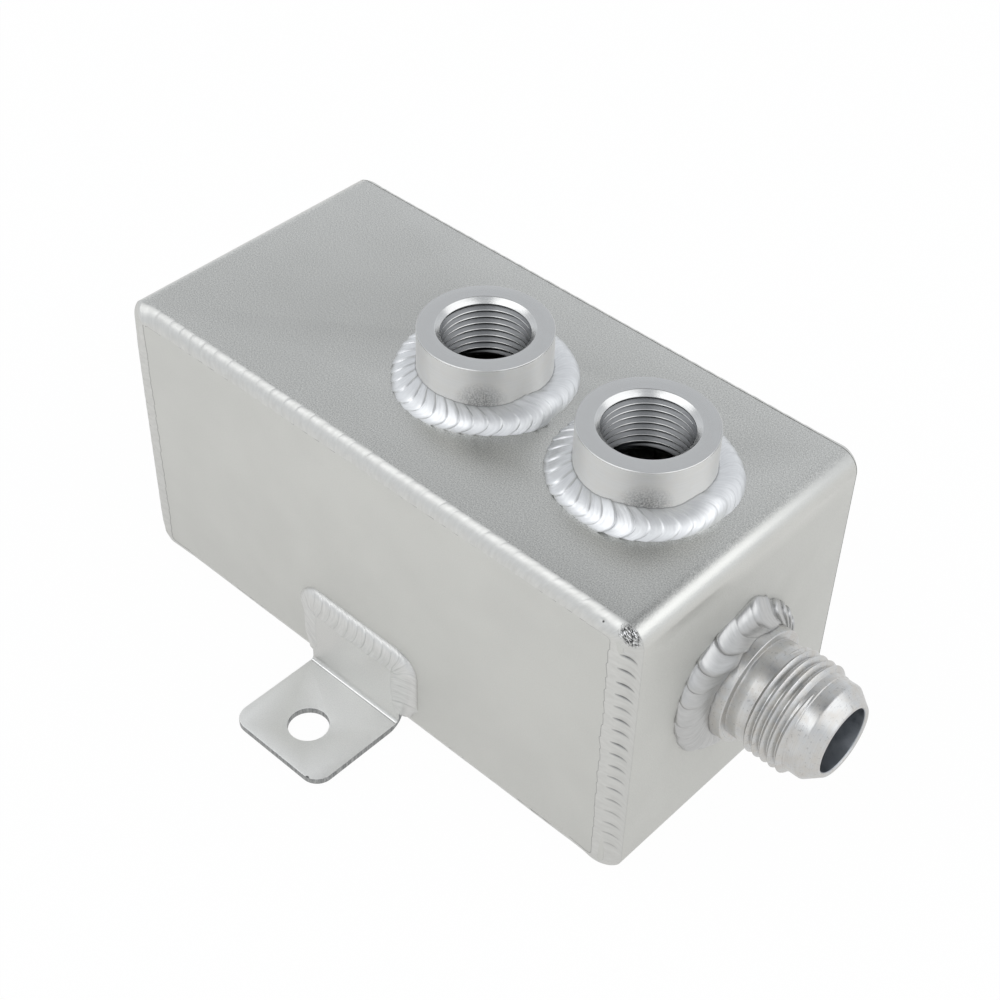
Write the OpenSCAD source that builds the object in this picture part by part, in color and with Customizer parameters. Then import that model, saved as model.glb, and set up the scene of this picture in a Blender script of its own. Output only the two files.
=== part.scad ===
/* [Tank] */
// Length of the tank body between its end faces
tank_l = 161; // [135:1:260]
// Width of the tank body across both side plates
tank_w = 80; // [70:1:140]
// Height of the tank body
tank_h = 80; // [70:1:140]
// Thickness of the aluminium sheet
sheet_t = 3; // [2:0.5:4]
// Outside radius of the folded corners
bend_r = 5.2; // [5:0.1:9]
// Gap between the sheet's two edges where the fold closes, filled by the closing weld
root_gap = 1.6; // [0.8:0.2:2.4]
// Radial clearance of a spigot in its hole in the sheet
spigot_gap = 0.15; // [0.05:0.05:0.3]

/* [Ports] */
// Outside diameter of a threaded port
port_d = 31.7; // [30:0.1:34]
// Height of a port above the tank's top
port_rise = 13.7; // [10:0.1:20]
// Bore of a port at the crests of its thread
port_bore_d = 20.5; // [19:0.1:21.5]
// Largest diameter of the port's thread
port_thread_d = 22.2; // [21.8:0.1:22.6]
// Diameter of the sealing chamfer at the port's mouth
port_seat_d = 23.3; // [22.8:0.1:26]
// Depth of the sealing chamfer
port_seat_l = 2.5; // [1.5:0.1:3.5]
// Diameter of the spigot that drops through the tank's top
port_spigot_d = 26; // [24:0.5:28]
// Width of the small break round the port's outer edge
port_break = 0.5; // [0.2:0.1:1]
// Distance from the tank's front end to the front port
port_inset = 31.3; // [28:0.1:40]
// Distance between the two ports
port_pitch = 47.8; // [45:0.1:60]

/* [Outlet] */
// Height of the outlet's centre line above the tank's underside
outlet_z = 38.9; // [32:0.1:45]
// Diameter of the outlet's collar
outlet_collar_d = 29.1; // [28:0.1:32]
// How far the collar stands out of the tank
outlet_collar_l = 6.4; // [5.6:0.1:10]
// Diameter of the plain neck behind the thread
outlet_neck_d = 25.2; // [24.5:0.1:26.5]
// Length of the plain neck
outlet_neck_l = 3; // [2:0.1:6]
// Largest diameter of the outlet's thread
outlet_thread_d = 27; // [26.6:0.1:27.6]
// Distance from crest to crest of the outlet's thread
outlet_thread_pitch = 2.117; // [1.8:0.001:2.3]
// Turns of thread on the outlet
outlet_turns = 6; // [4:1:10]
// Diameter of the plain land in front of the thread
outlet_land_d = 24.1; // [23.2:0.1:24.3]
// Length of the plain land
outlet_land_l = 3.2; // [1.5:0.1:5]
// Angle of the flare cone to its axis
outlet_cone_angle = 37; // [35:1:45]
// Diameter of the cone's small end
outlet_lip_d = 18.4; // [17.6:0.1:20]
// Bore of the outlet
outlet_bore_d = 16.4; // [12:0.1:16.6]
// Width of the small chamfer at the mouth of the outlet's bore
outlet_bore_break = 0.4; // [0.2:0.1:0.5]
// Diameter of the spigot that passes through the tank's end
outlet_spigot_d = 22; // [20:0.5:24]

/* [Brackets] */
// Width of a mounting bracket along the tank
bracket_w = 30.5; // [24:0.5:45]
// Distance from the tank's middle back to the brackets' middle
bracket_back = 1.8; // [0:0.1:20]
// Reach of a bracket out from the tank's side
bracket_reach = 28.9; // [28:0.1:45]
// Height of the leg that lies on the tank's side
bracket_h = 20.7; // [16:0.1:34]
// Thickness of a bracket
bracket_t = 1.8; // [1.5:0.1:3]
// Inside radius of the bracket's fold
bracket_fold_r = 3.2; // [3:0.1:4]
// Radius of the two outer corners
bracket_corner_r = 4.5; // [2:0.5:8]
// Radius of the leg's two top corners, under the weld
leg_corner_r = 2; // [1:0.5:4]
// Diameter of the bolt hole
bracket_hole_d = 10.2; // [6:0.1:11]
// Distance from the tank's side to the bolt hole
bracket_hole_out = 17.45; // [16:0.05:21]

/* [Baffle] */
// Thickness of the baffle sheet
baffle_t = 1.5; // [1:0.5:2.5]
// Depth of the baffle's two folded flanges
baffle_flange = 10; // [8:1:14]
// Inside radius of the baffle's folds
baffle_fold_r = 1; // [0.5:0.5:2]
// Clearance between the baffle's edges and the side plates
baffle_gap = 0.3; // [0.1:0.1:0.6]
// Diameter of the baffle's holes
baffle_hole_d = 6; // [4:0.5:8]
// Distance between the baffle's holes
baffle_hole_pitch = 12; // [11:1:16]
// Length of each tack weld that holds the baffle
tack_l = 8; // [5:1:12]

/* [Seam welds] */
// Distance between the ripples of the seam welds
seam_ripple = 4.8; // [3:0.1:8]
// Height of the ripples of all welds
ripple_h = 0.3; // [0.1:0.05:0.4]
// How far a ripple's middle runs ahead of its edges
ripple_lead = 1.6; // [0.5:0.1:2]
// How high a seam weld stands on the side plate that it laps over
seam_cover = 0.1; // [0.05:0.05:0.2]
// How far the top welds lap onto the side plates
top_lap = 1; // [0.4:0.1:1.5]
// How far the end welds lap onto the side plates
end_lap = 3.6; // [1:0.1:5]
// How far the bottom welds lap onto the side plates
bottom_lap = 0.15; // [0.1:0.05:0.2]
// Length over which a weld's lap changes at a corner
lap_run = 12; // [6:1:20]
// Width of the closing weld's cap
closing_cap_w = 8; // [6:0.5:12]
// Height of the closing weld's cap
closing_cap_h = 1.1; // [0.8:0.1:2]

/* [Fitting welds] */
// Reach of a port's weld over the tank's top
port_weld_leg = 5.9; // [4:0.1:7]
// Climb of a port's weld up the port
port_weld_rise = 4; // [3:0.1:8]
// Distance between the ripples of a port's weld
port_ripple = 2.8; // [2:0.1:5]
// Reach of the outlet's weld over the tank's end
outlet_weld_leg = 8; // [4:0.1:8]
// Climb of the outlet's weld up its collar
outlet_weld_rise = 4; // [3:0.1:5.2]
// Distance between the ripples of the outlet's weld
outlet_ripple = 4.6; // [3:0.1:6]
// Reach of a bracket's weld over the tank's side
bracket_weld_leg = 5; // [3:0.1:6]
// How far a bracket's weld laps onto its leg
bracket_weld_lap = 2; // [1.5:0.1:4]
// Distance between the ripples of a bracket's weld
bracket_ripple = 2.5; // [2:0.1:4]
// Height above the end of the bracket's fold at which its weld starts
bracket_weld_gap = 0.2; // [0.1:0.1:2]

/* [Hidden] */
$fn = 96;

// How far a cutter runs past the face it cuts
overrun = 1;

// The folded sheet's inside size and its inside bend
wrap_w = tank_w - 2 * sheet_t;
inner_l = tank_l - 2 * sheet_t;
inner_h = tank_h - 2 * sheet_t;
inner_bend_r = bend_r - sheet_t;

// Places of the fittings along the tank
front_port_x = tank_l / 2 - port_inset;
rear_port_x = front_port_x - port_pitch;
baffle_x = (front_port_x + rear_port_x) / 2;

// The closing weld lies across the rear end at half its height
closing_z = tank_h / 2;

// Shares of the outlet's thread pitch taken by a crest, a root and the thread's depth
thread_crest_share = 0.2;
thread_root_share = 0.3;
thread_depth_share = 0.58;

// Share of the inside bend that a seam weld laps over at the tank's corners
corner_lap_share = 0.75;
// Rise of a bracket weld's middle next to its bracket's thickness
bracket_crown_share = 0.4;
// How full a seam weld is between flat and round
seam_full_share = 0.4;
// Where a ripple peaks along its pitch, and how full a fillet weld is between flat and round
ripple_peak_share = 0.72;
fillet_full_share = 0.8;
// Size of a bracket weld's two ends next to its full size
weld_end_share = 0.7;

// Facets across a weld's outer surface and over a corner, and round each corner half
bead_sides = 5;
corner_sides = 3;
corner_steps = 4;

// Slight growth that keeps a weld's straight facets outside the curve that it follows
function outside(steps_per_turn) = 1 / cos(180 / steps_per_turn);

function mix(a, b, share) = a + (b - a) * share;

function ease(t) = let (c = max(0, min(1, t))) c * c * (3 - 2 * c);

// A weld's section as [out, up, lead]: out over the sheet, up from it, lead along the run.
// It starts at the root, rises to the edge that the weld laps over and comes down its outer face.
function section(lap, rise, leg, crown, ripple, lead, full = 1) =
    let (face = [for (i = [1 : bead_sides - 1])
             let (u = i / bead_sides)
             let (bulge = sin(180 * u))
             [mix(-lap, leg, mix(u, sin(90 * u), full)) + ripple * bulge / sqrt(2),
              rise * mix(1 - u, cos(90 * u), full) + (crown + ripple / sqrt(2)) * bulge,
              lead * bulge]])
    concat([[0, 0, 0]],
           lap > 0 ? [[0, rise, 0], [-lap, rise, 0]] : [[0, rise, 0]],
           face,
           [[leg, 0, 0]]);

// A seam weld's section, which laps over the side plate and then fills the open corner
function seam_section(lap, ripple, lead) =
    let (lap_sides = bead_sides - corner_sides)
    let (top = sheet_t + seam_cover)
    let (on_plate = [for (i = [1 : lap_sides]) [-lap * (1 - i / lap_sides), top]])
    let (on_corner = [for (i = [1 : corner_sides - 1])
             let (u = i / corner_sides)
             [sheet_t * mix(u, sin(90 * u), seam_full_share),
              top * mix(1 - u, cos(90 * u), seam_full_share)]])
    let (face = concat(on_plate, on_corner))
    concat([[0, 0, 0], [0, sheet_t, 0], [-lap, sheet_t, 0]],
           [for (i = [0 : len(face) - 1])
               let (bulge = sin(180 * (i + 1) / bead_sides))
               let (swell = ripple * bulge / sqrt(2))
               [face[i][0] + swell, face[i][1] + swell, lead * bulge]],
           [[sheet_t, 0, 0]]);

// Places of the rings along a run: a low and a high one for each ripple, as [place, high]
function ripple_rings(length, pitch) =
    let (count = max(2, round(length / pitch)))
    let (step = length / count)
    concat([for (i = [0 : count - 1], high = [0, 1])
               [-length / 2 + step * (i + high * ripple_peak_share), high]],
           [[length / 2, 0]]);

// How much of the ripple's lead is left at a place, so that a run's ends stay flat
function lead_left(place, length, pitch) = ease((length / 2 - abs(place)) / pitch);

// Solid between rings of points, closed back onto its first ring or by its two ends.
// A list of patches splits an end whose outline turns inwards or has points in one line.
module ring_solid(rings, loop = false, patches = undef) {
    m = len(rings[0]);
    n = len(rings);
    spans = loop ? n : n - 1;
    end_patches = is_undef(patches) ? [[for (j = [0 : m - 1]) j]] : patches;
    sides = [for (r = [0 : spans - 1], j = [0 : m - 1])
                let (a = r * m + j)
                let (b = r * m + (j + 1) % m)
                let (c = ((r + 1) % n) * m + (j + 1) % m)
                let (d = ((r + 1) % n) * m + j)
                each [[a, b, c], [a, c, d]]];
    ends = loop ? [] : [for (patch = end_patches)
                           each [[for (j = [len(patch) - 1 : -1 : 0]) patch[j]],
                                 [for (j = patch) (n - 1) * m + j]]];
    polyhedron(points = [for (ring = rings) each ring], faces = concat(sides, ends));
}

// Round-cornered rectangle centred on the origin
module rounded_rectangle(length, height, radius) {
    square([length, height - 2 * radius], center = true);
    square([length - 2 * radius, height], center = true);
    for (x = [-1, 1], y = [-1, 1])
        translate([x * (length / 2 - radius), y * (height / 2 - radius)]) circle(radius);
}

// Outline of the tank seen from its side, stood up in the XZ plane and given a width
module side_view(width) {
    translate([0, 0, tank_h / 2]) rotate([90, 0, 0])
        linear_extrude(height = width, center = true) children();
}

// Sheet folded at the four corners, with its holes and the open joint across the rear end
module tank_wrap() {
    hole_r = port_spigot_d / 2 + spigot_gap;
    outlet_hole_r = outlet_spigot_d / 2 + spigot_gap;
    color("silver") difference() {
        side_view(wrap_w) difference() {
            rounded_rectangle(tank_l, tank_h, bend_r);
            rounded_rectangle(inner_l, inner_h, inner_bend_r);
        }
        for (x = [rear_port_x, front_port_x])
            translate([x, 0, tank_h - sheet_t - overrun]) cylinder(h = sheet_t + 2 * overrun, r = hole_r);
        translate([tank_l / 2 - sheet_t - overrun, 0, outlet_z]) rotate([0, 90, 0])
            cylinder(h = sheet_t + 2 * overrun, r = outlet_hole_r);
        translate([-tank_l / 2 - overrun, -tank_w / 2, closing_z - root_gap / 2])
            cube([sheet_t + 2 * overrun, tank_w, root_gap]);
    }
}

// Flat plate that closes one side, set in by the sheet's thickness all round
module side_plate() {
    color("silver") translate([0, sheet_t / 2 - tank_w / 2, 0])
        side_view(sheet_t) rounded_rectangle(inner_l, inner_h, inner_bend_r);
}

module side_plate_near() {
    side_plate();
}

module side_plate_far() {
    mirror([0, 1, 0]) side_plate();
}

// Side view of the baffle: a web with a flange folded back at its top and bottom
module baffle_profile() {
    outer_r = baffle_fold_r + baffle_t;
    half_h = inner_h / 2;
    translate([-baffle_t, outer_r - half_h]) square([baffle_t, inner_h - 2 * outer_r]);
    for (side = [0, 1]) mirror([0, side]) {
        translate([-baffle_flange, -half_h]) square([baffle_flange - outer_r, baffle_t]);
        translate([-outer_r, outer_r - half_h]) intersection() {
            difference() {
                circle(outer_r);
                circle(baffle_fold_r);
            }
            translate([0, -outer_r]) square(outer_r);
        }
    }
}

// Perforated sheet that stands across the tank between the two ports
module baffle() {
    width = wrap_w - 2 * baffle_gap;
    flat_h = inner_h - 2 * (baffle_fold_r + baffle_t);
    across = floor((width - baffle_hole_pitch) / baffle_hole_pitch / 2);
    up = floor((flat_h - baffle_hole_pitch) / baffle_hole_pitch / 2);
    color("silver") translate([baffle_x, 0, 0]) difference() {
        side_view(width) baffle_profile();
        for (i = [-across : across], j = [-up : up])
            translate([-baffle_t - overrun, i * baffle_hole_pitch, tank_h / 2 + j * baffle_hole_pitch])
                rotate([0, 90, 0]) cylinder(h = baffle_t + 2 * overrun, d = baffle_hole_d);
    }
}

// Four short fillet welds along the free edges of the baffle's flanges
module baffle_tacks() {
    edge_x = baffle_x - baffle_flange;
    color("gainsboro") for (side = [-1, 1], up = [0, 1])
        translate([edge_x, side * wrap_w / 4, tank_h / 2]) mirror([0, 0, up])
            translate([0, 0, -inner_h / 2]) rotate([90, 0, 0])
                linear_extrude(height = tack_l, center = true) intersection() {
                    circle(baffle_t);
                    translate([-baffle_t, 0]) square(baffle_t);
                }
}

// Turned port: a thick ring with a spigot, an open bore and a chamfered mouth for a seal
module port() {
    bore_r = port_bore_d / 2;
    outer_r = port_d / 2;
    thread_r = port_thread_d / 2;
    lead_in = thread_r - bore_r;
    color("lightgray") translate([0, 0, tank_h]) rotate_extrude()
        polygon([[bore_r, -sheet_t],
                 [port_spigot_d / 2, -sheet_t],
                 [port_spigot_d / 2, 0],
                 [outer_r, 0],
                 [outer_r, port_rise - port_break],
                 [outer_r - port_break, port_rise],
                 [port_seat_d / 2, port_rise],
                 [thread_r, port_rise - port_seat_l],
                 [bore_r, port_rise - port_seat_l - lead_in]]);
}

module rear_port() {
    translate([rear_port_x, 0, 0]) port();
}

module front_port() {
    translate([front_port_x, 0, 0]) port();
}

// Turned outlet: spigot, collar, neck, threaded stretch, land and flare cone, bored through
module outlet_fitting() {
    crest_r = outlet_thread_d / 2;
    root_r = crest_r - outlet_thread_pitch * thread_depth_share;
    crest_l = outlet_thread_pitch * thread_crest_share;
    root_l = outlet_thread_pitch * thread_root_share;
    flank_l = (outlet_thread_pitch - crest_l - root_l) / 2;
    neck_x = outlet_collar_l;
    thread_x = neck_x + outlet_neck_l;
    land_x = thread_x + outlet_turns * outlet_thread_pitch;
    cone_x = land_x + outlet_land_l;
    lip_x = cone_x + (outlet_land_d - outlet_lip_d) / 2 / tan(outlet_cone_angle);
    edge = outlet_thread_pitch * thread_crest_share;
    turns = [for (i = [0 : outlet_turns - 1])
                let (x = thread_x + i * outlet_thread_pitch + root_l / 2)
                each [[root_r, x], [crest_r, x + flank_l], [crest_r, x + flank_l + crest_l],
                      [root_r, x + 2 * flank_l + crest_l]]];
    color("lightgray") translate([tank_l / 2, 0, outlet_z]) rotate([0, 90, 0]) rotate_extrude()
        polygon(concat(
            [[outlet_bore_d / 2, -sheet_t],
             [outlet_spigot_d / 2, -sheet_t],
             [outlet_spigot_d / 2, 0],
             [outlet_collar_d / 2, 0],
             [outlet_collar_d / 2, neck_x - edge],
             [outlet_collar_d / 2 - edge, neck_x],
             [outlet_neck_d / 2, neck_x],
             [outlet_neck_d / 2, thread_x]],
            turns,
            [[outlet_land_d / 2, land_x],
             [outlet_land_d / 2, cone_x],
             [outlet_lip_d / 2, lip_x],
             [outlet_bore_d / 2 + outlet_bore_break, lip_x],
             [outlet_bore_d / 2, lip_x - outlet_bore_break]]));
}

// End view of a bracket: a leg up the tank's side and a flange folded out at the bottom
module bracket_profile() {
    outer_r = bracket_fold_r + bracket_t;
    translate([-bracket_t, outer_r]) square([bracket_t, bracket_h - outer_r]);
    translate([-bracket_reach, 0]) square([bracket_reach - outer_r, bracket_t]);
    translate([-outer_r, outer_r]) intersection() {
        difference() {
            circle(outer_r);
            circle(bracket_fold_r);
        }
        translate([0, -outer_r]) square(outer_r);
    }
}

// Folded bracket with a bolt hole, rounded at the flange's corners and the leg's top corners
module bracket() {
    color("silver") translate([-bracket_back, -tank_w / 2, 0]) difference() {
        intersection() {
            rotate([90, 0, 90]) linear_extrude(height = bracket_w, center = true) bracket_profile();
            translate([0, 0, -overrun]) linear_extrude(height = bracket_h + 2 * overrun)
                rounded_rectangle(bracket_w, 2 * bracket_reach, bracket_corner_r);
            rotate([90, 0, 0]) translate([0, 0, -overrun])
                linear_extrude(height = bracket_reach + 2 * overrun)
                    rounded_rectangle(bracket_w, 2 * bracket_h, leg_corner_r);
        }
        translate([0, -bracket_hole_out, -overrun])
            cylinder(h = bracket_t + 2 * overrun, d = bracket_hole_d);
    }
}

module bracket_near() {
    bracket();
}

module bracket_far() {
    mirror([0, 1, 0]) bracket();
}

// Butt weld across the rear end: a root that fills the gap and a rippled cap over it
module closing_weld() {
    function ring(place, high) = let (left = lead_left(place, wrap_w, seam_ripple))
        let (cap = [for (i = [0 : bead_sides])
                let (u = i / bead_sides)
                let (bulge = sin(180 * u))
                [(closing_cap_h * mix(weld_end_share, 1, left) + ripple_h * high) * bulge,
                 ripple_lead * left * bulge,
                 closing_cap_w / 2 * cos(180 * u)]])
        [for (p = concat([[-sheet_t, 0, -root_gap / 2], [-sheet_t, 0, root_gap / 2],
                          [0, 0, root_gap / 2]], cap, [[0, 0, -root_gap / 2]]))
            [-tank_l / 2 - p[0], place + p[1], closing_z + p[2]]];
    last = bead_sides + 4;
    peak = 3 + floor(bead_sides / 2);
    cap_patches = [for (j = [2 : last])
                      let (next = j == last ? 2 : j + 1)
                      if (j != peak && next != peak) [peak, j, next]];
    patches = concat([[0, 1, 2, last]], cap_patches);
    color("gainsboro") ring_solid([for (r = ripple_rings(wrap_w, seam_ripple)) ring(r[0], r[1])],
                                  patches = patches);
}

// One seam weld, drawn as the run along the top of the near side.
// It fills the open corner between the wrap's edge and the side plate and ends halfway
// round both corners, where the next run meets it face to face.
module seam_run(length, height, lap, corner_lap) {
    straight = length - 2 * bend_r;
    edge = height / 2 - sheet_t;
    grow = outside(8 * corner_steps);
    function lap_at(place) =
        mix(corner_lap, lap, ease((straight / 2 - abs(place)) / lap_run));
    function at(place, turn, p) =
        let (r = (inner_bend_r + p[0]) * (turn == 0 ? 1 : grow))
        [place + p[2] + r * sin(turn), sheet_t - tank_w / 2 - p[1], edge - inner_bend_r + r * cos(turn)];
    function ring(place, turn, high) =
        let (lead = ripple_lead * lead_left(place, straight, seam_ripple))
        [for (p = seam_section(lap_at(place), ripple_h * high, lead)) at(place, turn, p)];
    turns = [for (i = [1 : corner_steps]) i * 45 / corner_steps];
    ring_solid(concat(
        [for (i = [1 : corner_steps]) ring(-straight / 2, turns[i - 1] - 45 - turns[0], 0)],
        [for (r = ripple_rings(straight, seam_ripple)) ring(r[0], 0, r[1])],
        [for (i = [1 : corner_steps]) ring(straight / 2, turns[i - 1], 0)]));
}

// A seam weld turned to the side of the tank that it closes: 0 top, 90 front, 180 bottom, 270 rear
module seam_weld(turn, lap) {
    upright = turn % 180 != 0;
    color("gainsboro") translate([0, 0, tank_h / 2]) rotate([0, turn, 0])
        seam_run(upright ? tank_h : tank_l, upright ? tank_l : tank_h, lap,
                 inner_bend_r * corner_lap_share);
}

module seam_weld_near_top() {
    seam_weld(0, top_lap);
}

module seam_weld_near_front() {
    seam_weld(90, end_lap);
}

module seam_weld_near_bottom() {
    seam_weld(180, bottom_lap);
}

module seam_weld_near_rear() {
    seam_weld(270, end_lap);
}

module seam_weld_far_top() {
    mirror([0, 1, 0]) seam_weld_near_top();
}

module seam_weld_far_front() {
    mirror([0, 1, 0]) seam_weld_near_front();
}

module seam_weld_far_bottom() {
    mirror([0, 1, 0]) seam_weld_near_bottom();
}

module seam_weld_far_rear() {
    mirror([0, 1, 0]) seam_weld_near_rear();
}

// Fillet weld right round a turned fitting of the given radius, standing on the plane z = 0
module round_weld(radius, leg, rise, pitch) {
    length = 2 * PI * (radius + leg / 2);
    rings = ripple_rings(length, pitch);
    grow = outside(len(rings) / 2);
    function at(p, place) =
        let (turn = 360 * (place + p[2]) / length)
        let (r = (radius + p[0]) * (p[0] == 0 ? grow : 1))
        [r * cos(turn), r * sin(turn), p[1]];
    color("gainsboro") ring_solid([for (i = [0 : len(rings) - 2])
        [for (p = section(0, rise, leg, 0, ripple_h * rings[i][1], ripple_lead / 2, fillet_full_share))
            at(p, rings[i][0])]], loop = true);
}

module port_weld() {
    translate([0, 0, tank_h]) round_weld(port_d / 2, port_weld_leg, port_weld_rise, port_ripple);
}

module rear_port_weld() {
    translate([rear_port_x, 0, 0]) port_weld();
}

module front_port_weld() {
    translate([front_port_x, 0, 0]) port_weld();
}

module outlet_weld() {
    translate([tank_l / 2, 0, outlet_z]) rotate([0, 90, 0])
        round_weld(outlet_collar_d / 2, outlet_weld_leg, outlet_weld_rise, outlet_ripple);
}

// Weld up one edge of a bracket's leg, over its top and down the other edge
module bracket_weld() {
    half_top = bracket_w / 2 - leg_corner_r;
    side_l = bracket_h - leg_corner_r - bracket_fold_r - bracket_t - bracket_weld_gap;
    mid_r = leg_corner_r + bracket_weld_leg / 2;
    corner_l = mid_r * PI / 2;
    length = 2 * (half_top + corner_l + side_l);
    grow = outside(4 * corner_l / bracket_ripple);
    function at(p, place) =
        let (s = abs(place))
        let (side = sign(place))
        let (turn = max(0, min(90, (s - half_top) / mid_r * 180 / PI)))
        let (r = leg_corner_r + p[0])
        let (reach = r * (turn > 0 && turn < 90 ? grow : 1))
        let (flat = min(s, half_top))
        let (drop = max(0, s - half_top - corner_l))
        [side * (flat + reach * sin(turn)) + p[2] * cos(turn) - bracket_back,
         -tank_w / 2 - p[1],
         bracket_h - leg_corner_r - drop + reach * cos(turn) - side * p[2] * sin(turn)];
    function ring(place, high) =
        let (left = lead_left(place, length, bracket_ripple))
        let (size = mix(weld_end_share, 1, left))
        [for (p = section(bracket_weld_lap * size, bracket_t, bracket_weld_leg * size,
                          bracket_t * bracket_crown_share, ripple_h * high, ripple_lead / 2 * left))
            at(p, place)];
    color("gainsboro") ring_solid([for (r = ripple_rings(length, bracket_ripple)) ring(r[0], r[1])]);
}

module bracket_weld_near() {
    bracket_weld();
}

module bracket_weld_far() {
    mirror([0, 1, 0]) bracket_weld();
}

tank_wrap();
side_plate_near();
side_plate_far();
baffle();
baffle_tacks();
rear_port();
front_port();
outlet_fitting();
bracket_near();
bracket_far();
closing_weld();
seam_weld_near_top();
seam_weld_near_front();
seam_weld_near_bottom();
seam_weld_near_rear();
seam_weld_far_top();
seam_weld_far_front();
seam_weld_far_bottom();
seam_weld_far_rear();
rear_port_weld();
front_port_weld();
outlet_weld();
bracket_weld_near();
bracket_weld_far();
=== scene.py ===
import math
import random

import bmesh
import bpy
from mathutils import Matrix, Vector


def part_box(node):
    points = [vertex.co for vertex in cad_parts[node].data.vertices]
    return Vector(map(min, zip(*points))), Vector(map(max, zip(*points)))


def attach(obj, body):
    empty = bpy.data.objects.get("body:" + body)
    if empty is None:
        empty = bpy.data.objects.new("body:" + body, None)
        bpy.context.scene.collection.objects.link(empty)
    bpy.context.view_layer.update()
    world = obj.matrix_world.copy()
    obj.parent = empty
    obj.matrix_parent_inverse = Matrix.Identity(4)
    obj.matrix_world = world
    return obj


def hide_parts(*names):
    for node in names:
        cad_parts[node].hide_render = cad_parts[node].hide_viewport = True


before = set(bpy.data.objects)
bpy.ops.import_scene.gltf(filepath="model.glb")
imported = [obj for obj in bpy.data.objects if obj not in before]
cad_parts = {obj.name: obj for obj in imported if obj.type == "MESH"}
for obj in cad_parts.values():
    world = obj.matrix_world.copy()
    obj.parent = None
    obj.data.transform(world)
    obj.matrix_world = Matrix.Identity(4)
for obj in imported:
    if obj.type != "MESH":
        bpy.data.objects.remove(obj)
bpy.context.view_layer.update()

MM = 0.001
IMAGE = 1000
SENSOR = 36.0


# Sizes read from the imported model

def size_of(node):
    """Low corner, high corner, size and middle of a CAD node's box."""
    low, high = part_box(node)
    return low, high, high - low, (low + high) / 2


WRAP_LOW, WRAP_HIGH, WRAP_SIZE, WRAP_MID = size_of("tank_wrap")
SHEET = size_of("side_plate_near")[2].y
TANK_LENGTH = WRAP_SIZE.x
TANK_WIDTH = WRAP_SIZE.y + 2 * SHEET
TANK_HEIGHT = WRAP_SIZE.z
BEND = 5.2 * MM
_, OUTLET_HIGH, OUTLET_SIZE, OUTLET_MID = size_of("outlet_fitting")
BRACKET_LOW, BRACKET_HIGH, BRACKET_SIZE, BRACKET_MID = size_of("bracket_near")
BRACKET_SHEET = 1.8 * MM
BRACKET_FOLD = 3.2 * MM
BRACKET_CREASE = 1.1 * MM
SIDE_SIGN = {"near": -1, "far": 1}


def put(name, data):
    """Adds an object that holds the data to the scene."""
    thing = bpy.data.objects.new(name, data)
    bpy.context.scene.collection.objects.link(thing)
    return thing


def mesh_object(bm, name, materials):
    """Turns a bmesh into an object with the given materials."""
    mesh = bpy.data.meshes.new(name)
    bm.to_mesh(mesh)
    bm.free()
    for material in materials:
        mesh.materials.append(material)
    return put(name, mesh)


# Camera, at the photograph's angle

CAMERA_TURN = 41.9
CAMERA_RISE = 42.93
CAMERA_ROLL = 1.64
CAMERA_DISTANCE = 449.6 * MM
CAMERA_FOCUS_PX = 1826.5
CAMERA_SHIFT_RIGHT = 5.38 * MM
CAMERA_SHIFT_UP = -0.45 * MM


def add_camera():
    """The camera that was fitted to the photograph."""
    turn, rise, roll = (math.radians(a) for a in (CAMERA_TURN, CAMERA_RISE, CAMERA_ROLL))
    back = Vector((math.sin(turn) * math.cos(rise), -math.cos(turn) * math.cos(rise), math.sin(rise)))
    level = back.cross(Vector((0, 0, -1))).normalized()
    upright = back.cross(level)
    right = level * math.cos(roll) + upright * math.sin(roll)
    up = upright * math.cos(roll) - level * math.sin(roll)
    target = Vector((0, 0, TANK_HEIGHT / 2)) + right * CAMERA_SHIFT_RIGHT + up * CAMERA_SHIFT_UP
    data = bpy.data.cameras.new("camera")
    data.sensor_width = SENSOR
    data.lens = CAMERA_FOCUS_PX / IMAGE * SENSOR
    data.clip_start = 0.01
    data.clip_end = 50.0
    camera = put("camera", data)
    camera.matrix_world = Matrix.Translation(target + back * CAMERA_DISTANCE) @ Matrix(
        (right, up, back)).transposed().to_4x4()
    bpy.context.scene.camera = camera


# Shader helpers

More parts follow.
